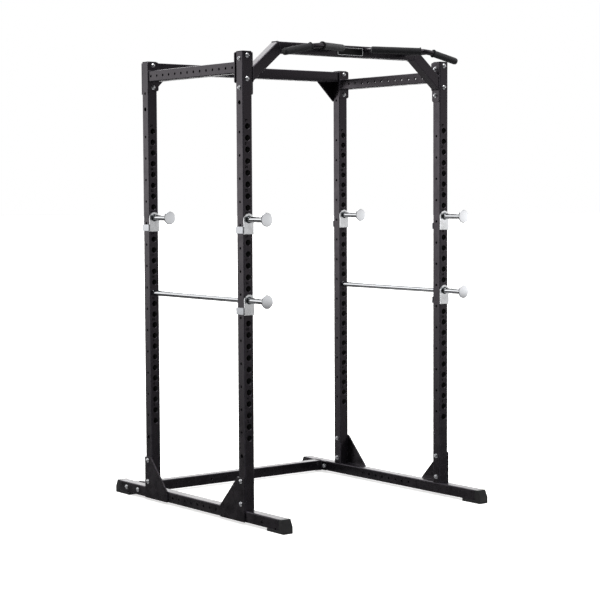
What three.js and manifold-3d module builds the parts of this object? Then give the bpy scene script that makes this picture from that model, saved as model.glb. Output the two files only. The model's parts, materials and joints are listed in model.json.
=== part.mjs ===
import * as THREE from 'three';
import { mergeVertices } from 'three/addons/utils/BufferGeometryUtils.js';
import Module from 'manifold-3d';

// Power cage, millimetres. +Z up, +X to the user's right, the open front faces -Y.
// The floor is z = 0 and the middle of the footprint is x = y = 0.

// ---- square tube ----
const TUBE = 50;
const WALL = 2;
const TUBE_ROUND = 4;
const HALF = TUBE / 2;

// ---- overall layout ----
const UPRIGHT_SPAN_X = 1134;        // between upright centres, side to side
const UPRIGHT_SPAN_Y = 752;         // between upright centres, front to back
const UPRIGHT_LENGTH = 1985;
const SOLE_THICKNESS = 12;          // rubber under the base rails
const RAIL_END_Y = 641;             // half length of a base rail's tube
const UX = UPRIGHT_SPAN_X / 2;
const UY = UPRIGHT_SPAN_Y / 2;

// ---- clearances ----
const SEAT = 0.3;                   // between two seated faces
const PIN_CLEAR = 0.5;              // radial, pin in an adjustment hole
const BOLT_CLEAR = 0.3;             // radial, bolt in its hole
const WELD = 0.5;                   // how far a welded piece runs into the next

// ---- adjustment holes ----
const HOLE_COUNT = 28;
const HOLE_PITCH = 50;
const HOLE_ACROSS = 26;
const TOP_HOLE_DOWN = 319;          // first hole below the upright's top
const HOLE_SIDES = 8;

// ---- bolts ----
const BOLT_RADIUS = 5;
const HEAD_RADIUS = 10.5;
const HEAD_CROWN_RADIUS = 7.5;
const HEAD_HEIGHT = 6;
const NUT_RADIUS = 9;
const NUT_HEIGHT = 8;
const BOLT_SIDES = 8;

// ---- flange plates of the upper members ----
const PLATE = 6;
const PLATE_ROUND = 8;
const SIDE_PLATE_WIDTH = TUBE + 10;
const TOP_BOLT_DOWN = 16.5;         // upper front-to-back bolt below the upright's top
const TOP_BOLT_PITCH = 100;
const SIDE_PLATE_TALL = 133;
const VENT_RADIUS = 7;

// ---- rear crossmember at the top ----
const REAR_TOP_DOWN = 3;            // its upper face below the uprights' tops
const REAR_PLATE_TALL = 148;
const REAR_PLATE_REACH = 97;        // how far each plate runs inward past the upright
const REAR_PLATE_MARGIN = 1;

// ---- front arch ----
const ARCH_RISE = 51;               // arch top above the uprights' tops
const ARM_RUN = 142;                // from the bend's upper edge out to the upright
const ARM_ANGLE = THREE.MathUtils.degToRad(40);
const ARCH_EDGE = 3;
const ARCH_PLATE_WIDTH = TUBE - 2;
const ARCH_PLATE_TALL = 184;
const ARCH_BOLT_DOWN = 30.5;
const ARCH_BOLT_PITCH = 123.5;
const BADGE_WIDTH = 148;
const BADGE_TALL = 37;
const BADGE_THICK = 3;
const BADGE_ROUND = 3;
const BADGE_DROP = 2;               // its middle below the arch tube's middle

// ---- pull-up handles ----
const HANDLE_RADIUS = 12;
const HANDLE_WALL = 2;
const HANDLE_UP = 7;                // handle line above the arch tube's middle
const INNER_START = [83, 50, 0];    // out from the middle, forward of the arch, up
const INNER_END = [284, 159, -6];
const OUTER_START = [347, 166, -12];
const OUTER_END = [490, 162, -42];
const BEND_LEAD = 1.09;              // the bend's corner, along the inner grip's line
const STUB_X = 99;                  // inner strut, behind the inner grip's end
const STUB_FORWARD = 58;
const STRUT_X = 318;                // outer strut, back from the bend
const STRUT_UP = -9;
const STRUT_RADIUS = 10;
const GRIP_RADIUS = HANDLE_RADIUS + 3.5;
const GRIP_RING_RADIUS = GRIP_RADIUS + 3;
const GRIP_RING = 4;
const GRIP_BEVEL = 2;
const GRIP_OFFSET = 2;              // a grip starts this far past its bend
const GRIP_NOSE = 5;                // closed inner end of the inner grip
const HANDLE_SIDES = 8;
const BEND_STEPS = 3;
const HANDLE_BORE = 60;             // how deep the outer end is open
const PLUG_FLANGE_RADIUS = HANDLE_RADIUS + 2;
const PLUG_FLANGE = 2.5;
const PLUG_BEVEL = 1;
const PLUG_DEPTH = 14;

// ---- J-cups and safety rods ----
const JCUP_LEVEL = 9;               // hole number counted from the top
const SAFETY_LEVEL = 16;
const PIN_SIDES = 8;
const ROD_REACH = 137;              // disc's front face ahead of the upright
const ROD_TAIL = 7;                 // how far the rod stands out behind
const DISC_RADIUS = 30;
const DISC_THICK = 5;
const PIN_RADIUS = HOLE_ACROSS / 2 - PIN_CLEAR;
const COLLAR_RADIUS = PIN_RADIUS + 4.5;
const COLLAR_THICK = 7;
const BRACKET_PLATE = 4.5;
const BRACKET_GAP = 1;
const BRACKET_HALF = HALF + BRACKET_GAP;
const BRACKET_ARC_STEPS = 8;
const BRACKET_FOOT = 64;            // lower end below the pin's centre
const WRAP_TOP = 31;                // the wrap runs from here ...
const WRAP_BOTTOM = 61;             // ... down to here, below the pin's centre

// ---- base ----
const GUSSET = 6;
const GUSSET_TOP = 206;
const GUSSET_HEAD = 51;             // level top edge
const GUSSET_REACH = 185;           // along the rail
const GUSSET_LIP = 3;               // its low end stands this far above the rail
const GUSSET_BOLT_LOW = 90;
const GUSSET_BOLT_PITCH = 100;
const REAR_BASE_Y = 527;            // centre of the rear floor crossmember
const REAR_BASE_PLATE_LONG = 135;
const REAR_BASE_PLATE_TALL = TUBE - 2;
const REAR_BASE_BOLT_PITCH = 100;
const FOOT_END_Y = 676;
const FOOT_TOE = 16;                // how far the toe leans forward
const FOOT_TOE_Z = 30;
const SOLE_START_Y = 556;
const FOOT_PLUG = 40;

// ---- top caps ----
const CAP_THICK = 3;
const CAP_PLUG = 9;
const CAP_ROUND = 5;
const CAP_BEVEL = 1;

// ---- heights and faces that follow ----
const RAIL_LOW = SOLE_THICKNESS;
const RAIL_MID = RAIL_LOW + HALF;
const RAIL_TOP = RAIL_LOW + TUBE;
const UPRIGHT_LOW = RAIL_TOP + SEAT;
const UPRIGHT_TOP = RAIL_TOP + UPRIGHT_LENGTH;
const OUTER_X = UX + HALF;
const INNER_X = UX - HALF;
const TOP_BOLT_Z = UPRIGHT_TOP - TOP_BOLT_DOWN;
const SIDE_RAIL_MID = TOP_BOLT_Z - TOP_BOLT_PITCH / 2;
const ARCH_BOLT_Z = UPRIGHT_TOP - ARCH_BOLT_DOWN;
const ARCH_TOP = UPRIGHT_TOP + ARCH_RISE;
const ARCH_MID = ARCH_TOP - HALF;
const ARCH_FLAT_HALF = INNER_X - ARM_RUN;   // half length of the level tube, upper edge
const ARCH_FACE_Y = -UY - HALF;
const holeZ = level => UPRIGHT_TOP - TOP_HOLE_DOWN - (level - 1) * HOLE_PITCH;

const wasm = await Module();
wasm.setup();

const FINISH = {
  frame: { color: 0x232226, roughness: 0.42, metalness: 0.35 },
  zinc: { color: 0xd2d3d6, roughness: 0.28, metalness: 0.95 },
  chrome: { color: 0xe2e3e6, roughness: 0.1, metalness: 1.0 },
  rubber: { color: 0x1b1b1d, roughness: 0.85, metalness: 0.0 },
  plastic: { color: 0x17171a, roughness: 0.55, metalness: 0.0 },
  foam: { color: 0x202024, roughness: 0.9, metalness: 0.0 },
  badge: { color: 0x2a2b30, roughness: 0.35, metalness: 0.5 },
};

const sorted = (a, b) => [Math.min(a, b), Math.max(a, b)];

// A closed three.js geometry as a solid.
function solid(geometry) {
  const source = geometry.clone();
  source.deleteAttribute('normal');
  source.deleteAttribute('uv');
  const merged = mergeVertices(source, 1e-4);
  return new wasm.Manifold(new wasm.Mesh({
    numProp: 3,
    vertProperties: new Float32Array(merged.attributes.position.array),
    triVerts: new Uint32Array(merged.index.array),
  }));
}

function toGeometry(body) {
  const mesh = body.getMesh();
  const geometry = new THREE.BufferGeometry();
  const corners = new Float32Array(mesh.vertProperties);
  geometry.setAttribute('position', new THREE.BufferAttribute(corners, 3));
  geometry.setIndex(new THREE.BufferAttribute(new Uint32Array(mesh.triVerts), 1));
  geometry.computeVertexNormals();
  return geometry;
}

function box(x, y, z) {
  const geometry = new THREE.BoxGeometry(x[1] - x[0], y[1] - y[0], z[1] - z[0]);
  geometry.translate((x[0] + x[1]) / 2, (y[0] + y[1]) / 2, (z[0] + z[1]) / 2);
  return solid(geometry);
}

function outline(points) {
  const shape = new THREE.Shape();
  points.forEach(([a, b], i) => (i ? shape.lineTo(a, b) : shape.moveTo(a, b)));
  shape.closePath();
  return shape;
}

// A flat outline swept along one axis. Along x the outline is (y, z), along y it
// is (x, z) and along z it is (x, y).
function prism(points, axis, from, to, edge = 0) {
  const geometry = new THREE.ExtrudeGeometry(outline(points), {
    depth: to - from - 2 * edge,
    bevelEnabled: edge > 0,
    bevelThickness: edge,
    bevelSize: edge,
    bevelOffset: -edge,
    bevelSegments: 1,
  });
  geometry.translate(0, 0, from + edge);
  if (axis === 'x') {
    geometry.applyMatrix4(new THREE.Matrix4().set(0, 0, 1, 0, 1, 0, 0, 0, 0, 1, 0, 0, 0, 0, 0, 1));
  }
  if (axis === 'y') {
    geometry.translate(0, 0, -from - to);
    geometry.rotateX(Math.PI / 2);
  }
  return solid(geometry);
}

// A rectangle about (a, b) with rounded corners.
function roundRect(a, b, wide, tall, radius, steps = 2) {
  const points = [];
  const corners = [[1, 1, 0], [-1, 1, 1], [-1, -1, 2], [1, -1, 3]];
  for (const [sa, sb, quarter] of corners) {
    const ca = a + sa * (wide / 2 - radius);
    const cb = b + sb * (tall / 2 - radius);
    for (let i = 0; i <= steps; i += 1) {
      const angle = (quarter + i / steps) * Math.PI / 2;
      points.push([ca + radius * Math.cos(angle), cb + radius * Math.sin(angle)]);
    }
  }
  return points;
}

// A round bar along an axis, with a flat of its outline facing up.
function bar(axis, at, radius, from, to, sides) {
  const geometry = new THREE.CylinderGeometry(radius, radius, to - from, sides);
  geometry.rotateY(Math.PI / sides);
  geometry.translate(0, (from + to) / 2, 0);
  if (axis === 'x') {
    geometry.rotateZ(-Math.PI / 2);
    geometry.translate(0, at[0], at[1]);
  }
  if (axis === 'y') {
    geometry.translate(at[0], 0, at[1]);
  }
  return solid(geometry);
}

// A hole cutter whose flats stand the given radius from its axis.
function cutter(axis, at, radius, from, to, sides) {
  return bar(axis, at, radius / Math.cos(Math.PI / sides), from, to, sides);
}

function boltHole(axis, at, from, to) {
  return cutter(axis, at, BOLT_RADIUS + BOLT_CLEAR, from, to, BOLT_SIDES);
}

function squareTube(axis, a, b, from, to) {
  const outer = prism(roundRect(a, b, TUBE, TUBE, TUBE_ROUND), axis, from, to);
  const bore = TUBE - 2 * WALL;
  const half = bore / 2;
  const inside = [[a - half, b - half], [a + half, b - half], [a + half, b + half], [a - half, b + half]];
  return outer.subtract(prism(inside, axis, from - 1, to + 1));
}

// ---- uprights ----
function upright(sx, sy) {
  const x = sx * UX;
  const y = sy * UY;
  let body = squareTube('z', x, y, UPRIGHT_LOW, UPRIGHT_TOP);
  const ySpan = [y - TUBE, y + TUBE];
  const xSpan = [x - TUBE, x + TUBE];
  for (let level = 1; level <= HOLE_COUNT; level += 1) {
    const at = [x, holeZ(level)];
    body = body.subtract(cutter('y', at, HOLE_ACROSS / 2, ySpan[0], ySpan[1], HOLE_SIDES));
  }
  for (const row of [0, 1]) {
    body = body.subtract(boltHole('y', [x, TOP_BOLT_Z - row * TOP_BOLT_PITCH], ySpan[0], ySpan[1]));
    const low = [y, GUSSET_BOLT_LOW + row * GUSSET_BOLT_PITCH];
    body = body.subtract(boltHole('x', low, xSpan[0], xSpan[1]));
    if (sy < 0) {
      const high = [y, ARCH_BOLT_Z - row * ARCH_BOLT_PITCH];
      body = body.subtract(boltHole('x', high, xSpan[0], xSpan[1]));
    }
  }
  return body;
}

function topCap(sx, sy) {
  const x = sx * UX;
  const y = sy * UY;
  const low = UPRIGHT_TOP + SEAT;
  const lid = prism(roundRect(x, y, TUBE, TUBE, CAP_ROUND), 'z', low, low + CAP_THICK, CAP_BEVEL);
  const half = HALF - WALL - SEAT;
  const skirt = [UPRIGHT_TOP - CAP_PLUG, low + CAP_BEVEL];
  return lid.add(box([x - half, x + half], [y - half, y + half], skirt));
}

// ---- base rails with their gussets ----
function baseRail(sx) {
  const x = sx * UX;
  let body = squareTube('y', x, RAIL_MID, -RAIL_END_Y, RAIL_END_Y);
  const near = sx * (OUTER_X + SEAT);
  const far = sx * (OUTER_X + SEAT + GUSSET);
  const root = sx * (OUTER_X - WELD);
  const plate = sorted(near, far);
  const seam = sorted(root, near + sx * WELD);
  const edgeY = UY + HALF;
  for (const sy of [-1, 1]) {
    const shape = [
      [sy * edgeY, RAIL_LOW],
      [sy * edgeY, GUSSET_TOP],
      [sy * (edgeY - GUSSET_HEAD), GUSSET_TOP],
      [sy * (edgeY - GUSSET_REACH), RAIL_TOP + GUSSET_LIP],
      [sy * (edgeY - GUSSET_REACH), RAIL_LOW],
    ];
    body = body.add(prism(shape, 'x', plate[0], plate[1]));
    const ySeam = sorted(sy * edgeY, sy * (edgeY - GUSSET_REACH));
    body = body.add(box(seam, ySeam, [RAIL_LOW + TUBE_ROUND, RAIL_TOP - TUBE_ROUND]));
    for (const row of [0, 1]) {
      const at = [sy * UY, GUSSET_BOLT_LOW + row * GUSSET_BOLT_PITCH];
      body = body.subtract(boltHole('x', at, plate[0] - 1, plate[1] + 1));
    }
  }
  for (const end of [-1, 1]) {
    const at = [REAR_BASE_Y + end * REAR_BASE_BOLT_PITCH / 2, RAIL_MID];
    body = body.subtract(boltHole('x', at, x - TUBE, x + TUBE));
  }
  return body;
}

// ---- anti-slip feet ----
function foot(sx, sy) {
  const x = sx * UX;
  const face = RAIL_END_Y + SEAT;
  const sole = RAIL_LOW - SEAT;
  const shape = [
    [SOLE_START_Y, 0],
    [FOOT_END_Y, 0],
    [FOOT_END_Y, FOOT_TOE_Z],
    [FOOT_END_Y - FOOT_TOE, RAIL_TOP],
    [face, RAIL_TOP],
    [face, sole],
    [SOLE_START_Y, sole],
  ].map(([y, z]) => [sy * y, z]);
  const half = HALF - WALL - SEAT;
  const plugY = sorted(sy * (RAIL_END_Y - FOOT_PLUG), sy * (face + WELD));
  const plug = box([x - half, x + half], plugY, [RAIL_MID - half, RAIL_MID + half]);
  return prism(shape, 'x', x - HALF, x + HALF).add(plug);
}

function rearBase() {
  const end = INNER_X - SEAT;
  const weld = end - PLATE + WELD;
  let body = squareTube('x', REAR_BASE_Y, RAIL_MID, -weld, weld);
  for (const sx of [-1, 1]) {
    const faces = sorted(sx * end, sx * (end - PLATE));
    const plate = roundRect(REAR_BASE_Y, RAIL_MID, REAR_BASE_PLATE_LONG, REAR_BASE_PLATE_TALL, PLATE_ROUND);
    body = body.add(prism(plate, 'x', faces[0], faces[1]));
    for (const side of [-1, 1]) {
      const at = [REAR_BASE_Y + side * REAR_BASE_BOLT_PITCH / 2, RAIL_MID];
      body = body.subtract(boltHole('x', at, faces[0] - 1, faces[1] + 1));
    }
    const vent = [REAR_BASE_Y, RAIL_MID];
    body = body.subtract(cutter('x', vent, VENT_RADIUS, faces[0] - 1, faces[1] + 1, BOLT_SIDES));
  }
  return body;
}

// ---- upper side rails ----
function sideRail(sx) {
  const x = sx * UX;
  const end = UY - HALF - SEAT;
  const weld = end - PLATE + WELD;
  let body = squareTube('y', x, SIDE_RAIL_MID, -weld, weld);
  for (const sy of [-1, 1]) {
    const faces = sorted(sy * end, sy * (end - PLATE));
    const plate = roundRect(x, SIDE_RAIL_MID, SIDE_PLATE_WIDTH, SIDE_PLATE_TALL, PLATE_ROUND);
    body = body.add(prism(plate, 'y', faces[0], faces[1]));
    for (const row of [0, 1]) {
      const at = [x, TOP_BOLT_Z - row * TOP_BOLT_PITCH];
      body = body.subtract(boltHole('y', at, faces[0] - 1, faces[1] + 1));
    }
    const vent = [x, SIDE_RAIL_MID];
    body = body.subtract(cutter('y', vent, VENT_RADIUS, faces[0] - 1, faces[1] + 1, BOLT_SIDES));
  }
  return body;
}

// ---- rear crossmember at the top, carried by plates on the uprights' backs ----
function rearTop() {
  const top = UPRIGHT_TOP - REAR_TOP_DOWN;
  const back = UY + HALF;
  const end = INNER_X - SEAT;
  let body = squareTube('x', UY, top - HALF, -end, end);
  const plateLow = UPRIGHT_TOP - REAR_PLATE_TALL;
  const outer = OUTER_X - REAR_PLATE_MARGIN;
  for (const sx of [-1, 1]) {
    const shape = [
      [sx * outer, top],
      [sx * outer, plateLow],
      [sx * INNER_X, plateLow],
      [sx * (INNER_X - REAR_PLATE_REACH), top - TUBE],
      [sx * (INNER_X - REAR_PLATE_REACH), top],
    ];
    body = body.add(prism(shape, 'y', back + SEAT, back + SEAT + PLATE));
    const seam = sorted(sx * (INNER_X - REAR_PLATE_REACH), sx * end);
    const tall = [top - TUBE + TUBE_ROUND, top - TUBE_ROUND];
    body = body.add(box(seam, [back - WELD, back + SEAT + WELD], tall));
    for (const row of [0, 1]) {
      const at = [sx * UX, TOP_BOLT_Z - row * TOP_BOLT_PITCH];
      body = body.subtract(boltHole('y', at, back, back + 2 * PLATE));
    }
  }
  return body;
}

// ---- front arch ----
// The arch's side view at a given inset from its outer faces, running out to x = reach.
function archOutline(inset, reach) {
  const lean = Math.tan(ARM_ANGLE / 2);
  const slope = Math.tan(ARM_ANGLE);
  const highX = ARCH_FLAT_HALF - inset * lean;
  const lowX = ARCH_FLAT_HALF - (TUBE - inset) * lean;
  const highZ = ARCH_TOP - inset;
  const lowZ = ARCH_TOP - TUBE + inset;
  return [
    [-reach, highZ - (reach - highX) * slope],
    [-reach, lowZ - (reach - lowX) * slope],
    [-lowX, lowZ],
    [lowX, lowZ],
    [reach, lowZ - (reach - lowX) * slope],
    [reach, highZ - (reach - highX) * slope],
    [highX, highZ],
    [-highX, highZ],
  ];
}

function arch() {
  const end = INNER_X - SEAT;
  const plateIn = end - PLATE;
  const outer = prism(archOutline(0, plateIn + ARCH_EDGE + WELD), 'y', -UY - HALF, -UY + HALF, ARCH_EDGE);
  let body = outer.subtract(prism(archOutline(WALL, plateIn), 'y', -UY - HALF + WALL, -UY + HALF - WALL));
  const plateMid = UPRIGHT_TOP - ARCH_PLATE_TALL / 2;
  const armMid = (archOutline(HALF, plateIn)[0][1] + archOutline(HALF, plateIn)[1][1]) / 2;
  for (const sx of [-1, 1]) {
    const faces = sorted(sx * end, sx * plateIn);
    const beyond = sorted(sx * end, sx * (end + TUBE));
    body = body.subtract(box(beyond, [-UY - TUBE, -UY + TUBE], [0, ARCH_TOP]));
    const plate = roundRect(-UY, plateMid, ARCH_PLATE_WIDTH, ARCH_PLATE_TALL, PLATE_ROUND);
    body = body.add(prism(plate, 'x', faces[0], faces[1]));
    for (const row of [0, 1]) {
      const at = [-UY, ARCH_BOLT_Z - row * ARCH_BOLT_PITCH];
      body = body.subtract(boltHole('x', at, faces[0] - 1, faces[1] + 1));
    }
    body = body.subtract(cutter('x', [-UY, armMid], VENT_RADIUS, faces[0] - 1, faces[1] + 1, BOLT_SIDES));
  }
  return body;
}

function badge() {
  const plate = roundRect(0, ARCH_MID - BADGE_DROP, BADGE_WIDTH, BADGE_TALL, BADGE_ROUND);
  return prism(plate, 'y', ARCH_FACE_Y - SEAT - BADGE_THICK, ARCH_FACE_Y - SEAT);
}

// ---- pull-up handles ----
// A handle point given as out from the middle, forward of the arch and up.
function handlePoint(sx, [out, forward, up]) {
  return new THREE.Vector3(sx * out, ARCH_FACE_Y - forward, ARCH_MID + HANDLE_UP + up);
}

function swept(curve, radius) {
  const circle = [];
  for (let i = 0; i < HANDLE_SIDES; i += 1) {
    const angle = 2 * Math.PI * i / HANDLE_SIDES;
    circle.push([radius * Math.cos(angle), radius * Math.sin(angle)]);
  }
  const sweep = { steps: BEND_STEPS, bevelEnabled: false, extrudePath: curve };
  return solid(new THREE.ExtrudeGeometry(outline(circle), sweep));
}

// A shape turned about the line from one point to another; the profile is
// (distance along, radius) and closed.
function turned(from, to, profile, sides) {
  const points = profile.map(([along, radius]) => new THREE.Vector2(radius, along));
  const geometry = new THREE.LatheGeometry(points, sides);
  const direction = to.clone().sub(from).normalize();
  const turn = new THREE.Quaternion().setFromUnitVectors(new THREE.Vector3(0, 1, 0), direction);
  geometry.applyQuaternion(turn);
  geometry.translate(from.x, from.y, from.z);
  return solid(geometry);
}

function rod(from, to, radius, lap = 0) {
  const length = from.distanceTo(to);
  const profile = [[-lap, 0], [-lap, radius], [length + lap, radius], [length + lap, 0]];
  return turned(from, to, profile, HANDLE_SIDES);
}

function handle(sx) {
  const innerStart = handlePoint(sx, INNER_START);
  const innerEnd = handlePoint(sx, INNER_END);
  const outerStart = handlePoint(sx, OUTER_START);
  const outerEnd = handlePoint(sx, OUTER_END);
  const tip = innerStart.clone().lerp(innerEnd, (GRIP_NOSE + WELD) / innerStart.distanceTo(innerEnd));
  const corner = innerStart.clone().lerp(innerEnd, BEND_LEAD);
  let body = swept(new THREE.QuadraticBezierCurve3(innerEnd, corner, outerStart), HANDLE_RADIUS);
  body = body.add(rod(tip, innerEnd, HANDLE_RADIUS, WELD));
  body = body.add(rod(outerStart, outerEnd, HANDLE_RADIUS));
  const strutFrom = handlePoint(sx, [STRUT_X, SEAT, STRUT_UP]);
  const strutTo = handlePoint(sx, [STRUT_X, OUTER_START[1], STRUT_UP]);
  body = body.add(rod(strutFrom, strutTo, STRUT_RADIUS));
  body = body.add(stub(sx, STRUT_RADIUS));
  // The tube is open where its plug sits.
  const bore = HANDLE_RADIUS - HANDLE_WALL;
  const deep = outerEnd.clone().lerp(outerStart, HANDLE_BORE / outerEnd.distanceTo(outerStart));
  return body.subtract(rod(deep, outerEnd, bore, WELD));
}

function stub(sx, radius) {
  const from = handlePoint(sx, [STUB_X, SEAT, 0]);
  const to = handlePoint(sx, [STUB_X, STUB_FORWARD, 0]);
  return rod(from, to, radius);
}

function plug(sx) {
  const end = handlePoint(sx, OUTER_END);
  const from = handlePoint(sx, OUTER_START);
  const inner = HANDLE_RADIUS - HANDLE_WALL - SEAT;
  const profile = [
    [-PLUG_DEPTH, 0],
    [-PLUG_DEPTH, inner],
    [SEAT, inner],
    [SEAT, PLUG_FLANGE_RADIUS],
    [SEAT + PLUG_FLANGE, PLUG_FLANGE_RADIUS - PLUG_BEVEL],
    [SEAT + PLUG_FLANGE, 0],
  ];
  const beyond = end.clone().add(end.clone().sub(from));
  return turned(end, beyond, profile, HANDLE_SIDES);
}

// A grip sleeve; the ring is at its start.
function grip(bend, to, closedBy) {
  const from = bend.clone().lerp(to, GRIP_OFFSET / bend.distanceTo(to));
  const length = from.distanceTo(to);
  const bore = (HANDLE_RADIUS + SEAT) / Math.cos(Math.PI / HANDLE_SIDES);
  const depth = closedBy ? length - closedBy + SEAT : length;
  const profile = [
    [0, bore],
    [0, GRIP_RING_RADIUS],
    [GRIP_RING, GRIP_RING_RADIUS],
    [GRIP_RING, GRIP_RADIUS],
    [length - GRIP_BEVEL, GRIP_RADIUS],
    [length, GRIP_RADIUS - GRIP_BEVEL],
  ];
  if (closedBy) profile.push([length, 0], [depth, 0]);
  profile.push([depth, bore], [0, bore]);
  return turned(from, to, profile, HANDLE_SIDES);
}

// The inner grip is slit at the back of its closed end, round the inner strut.
function innerGrip(sx) {
  const sleeve = grip(handlePoint(sx, INNER_END), handlePoint(sx, INNER_START), GRIP_NOSE);
  return sleeve.subtract(stub(sx, STRUT_RADIUS + SEAT));
}

// ---- twist-lock bracket shared by the J-cups and the safety rods ----
function lockBracket(sx, sy, level, rodEnd) {
  const x = sx * UX;
  const front = sy * UY - HALF - BRACKET_GAP;
  const back = sy * UY + HALF + BRACKET_GAP;
  const z = holeZ(level);
  const wrapOut = BRACKET_HALF + BRACKET_PLATE;
  const face = [];
  for (let i = 0; i <= BRACKET_ARC_STEPS; i += 1) {
    const angle = Math.PI * i / BRACKET_ARC_STEPS;
    face.push([x + BRACKET_HALF * Math.cos(angle), z + BRACKET_HALF * Math.sin(angle)]);
  }
  face.push([x - BRACKET_HALF, z - BRACKET_FOOT], [x + BRACKET_HALF, z - BRACKET_FOOT]);
  let body = prism(face, 'y', front - BRACKET_PLATE, front);
  const tall = [z - WRAP_BOTTOM, z - WRAP_TOP];
  const sideX = sorted(x + sx * (BRACKET_HALF - WELD), x + sx * wrapOut);
  const sheet = sorted(x + sx * BRACKET_HALF, x + sx * wrapOut);
  const backX = sorted(x - sx * BRACKET_HALF, x + sx * wrapOut);
  body = body.add(box(sideX, [front - BRACKET_PLATE, front], tall));
  body = body.add(box(sheet, [front - WELD, back + WELD], tall));
  body = body.add(box(backX, [back, back + BRACKET_PLATE], tall));
  const disc = sy * UY - HALF - ROD_REACH;
  body = body.add(bar('y', [x, z], PIN_RADIUS, disc + WELD, rodEnd, PIN_SIDES));
  body = body.add(bar('y', [x, z], DISC_RADIUS, disc, disc + DISC_THICK, 2 * PIN_SIDES));
  const collar = front - BRACKET_PLATE;
  return body.add(bar('y', [x, z], COLLAR_RADIUS, collar - COLLAR_THICK, collar + WELD, PIN_SIDES));
}

// ---- bolts ----
// A bolt with its nut along x or y: the head's seat is at `seat` and the nut's at
// `nut`; the head lies on the side away from the nut.
function bolt(axis, at, seat, nut) {
  const sign = Math.sign(nut - seat);
  const seatGap = seat - sign * SEAT;
  const nutGap = nut + sign * SEAT;
  const length = Math.abs(nutGap - seatGap);
  const profile = [
    [-HEAD_HEIGHT, 0],
    [-HEAD_HEIGHT, HEAD_CROWN_RADIUS],
    [0, HEAD_RADIUS],
    [0, BOLT_RADIUS],
    [length, BOLT_RADIUS],
    [length, NUT_RADIUS],
    [length + NUT_HEIGHT, NUT_RADIUS],
    [length + NUT_HEIGHT, 0],
  ];
  const place = t => {
    const [a, b] = at;
    return axis === 'x' ? new THREE.Vector3(t, a, b) : new THREE.Vector3(a, t, b);
  };
  return turned(place(seatGap), place(nutGap), profile, BOLT_SIDES);
}

// ---- assembly ----
const cage = new THREE.Group();
cage.name = 'power_cage';

function addPart(name, body, finish) {
  const mesh = new THREE.Mesh(toGeometry(body), new THREE.MeshStandardMaterial(FINISH[finish]));
  mesh.name = name;
  cage.add(mesh);
}

const CORNERS = [
  ['front_left', -1, -1],
  ['front_right', 1, -1],
  ['rear_left', -1, 1],
  ['rear_right', 1, 1],
];
const SIDES = [['left', -1], ['right', 1]];
const ROWS = [['upper', 0], ['lower', 1]];

for (const [corner, sx, sy] of CORNERS) {
  addPart(`upright_${corner}`, upright(sx, sy), 'frame');
  addPart(`top_cap_${corner}`, topCap(sx, sy), 'plastic');
  addPart(`foot_${corner}`, foot(sx, sy), 'rubber');
  addPart(`jcup_${corner}`, lockBracket(sx, sy, JCUP_LEVEL, sy * UY + HALF + ROD_TAIL), 'zinc');
  for (const [row, step] of ROWS) {
    // Through the upright and the side rail's flange, and at the back the rear plate too.
    const z = TOP_BOLT_Z - step * TOP_BOLT_PITCH;
    const flange = sy * (UY - HALF - SEAT - PLATE);
    const plateBack = UY + HALF + SEAT + PLATE;
    const seat = sy < 0 ? -UY - HALF : flange;
    const nut = sy < 0 ? flange : plateBack;
    addPart(`bolt_top_${corner}_${row}`, bolt('y', [sx * UX, z], seat, nut), 'zinc');
    const low = GUSSET_BOLT_LOW + (1 - step) * GUSSET_BOLT_PITCH;
    const plate = sx * (OUTER_X + SEAT + GUSSET);
    addPart(`bolt_gusset_${corner}_${row}`, bolt('x', [sy * UY, low], plate, sx * INNER_X), 'zinc');
  }
}

for (const [side, sx] of SIDES) {
  addPart(`base_rail_${side}`, baseRail(sx), 'frame');
  addPart(`side_rail_${side}`, sideRail(sx), 'frame');
  addPart(`safety_rod_${side}`, lockBracket(sx, -1, SAFETY_LEVEL, UY + HALF + ROD_TAIL), 'chrome');
  addPart(`pullup_handle_${side}`, handle(sx), 'frame');
  addPart(`handle_plug_${side}`, plug(sx), 'plastic');
  addPart(`grip_inner_${side}`, innerGrip(sx), 'foam');
  addPart(`grip_outer_${side}`, grip(handlePoint(sx, OUTER_START), handlePoint(sx, OUTER_END), 0), 'foam');
  for (const [row, step] of ROWS) {
    const z = ARCH_BOLT_Z - step * ARCH_BOLT_PITCH;
    const nut = sx * (INNER_X - SEAT - PLATE);
    addPart(`bolt_arch_${side}_${row}`, bolt('x', [-UY, z], sx * OUTER_X, nut), 'zinc');
  }
  for (const [place, end] of [['front', -1], ['rear', 1]]) {
    const y = REAR_BASE_Y + end * REAR_BASE_BOLT_PITCH / 2;
    const nut = sx * (INNER_X - SEAT - PLATE);
    addPart(`bolt_base_${side}_${place}`, bolt('x', [y, RAIL_MID], sx * OUTER_X, nut), 'zinc');
  }
}

addPart('rear_base_crossmember', rearBase(), 'frame');
addPart('rear_top_crossmember', rearTop(), 'frame');
addPart('front_arch', arch(), 'frame');
addPart('badge_plate', badge(), 'badge');

export default cage;
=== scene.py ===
import json
import math

import bmesh
import bpy
from mathutils import Matrix, Vector


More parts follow.
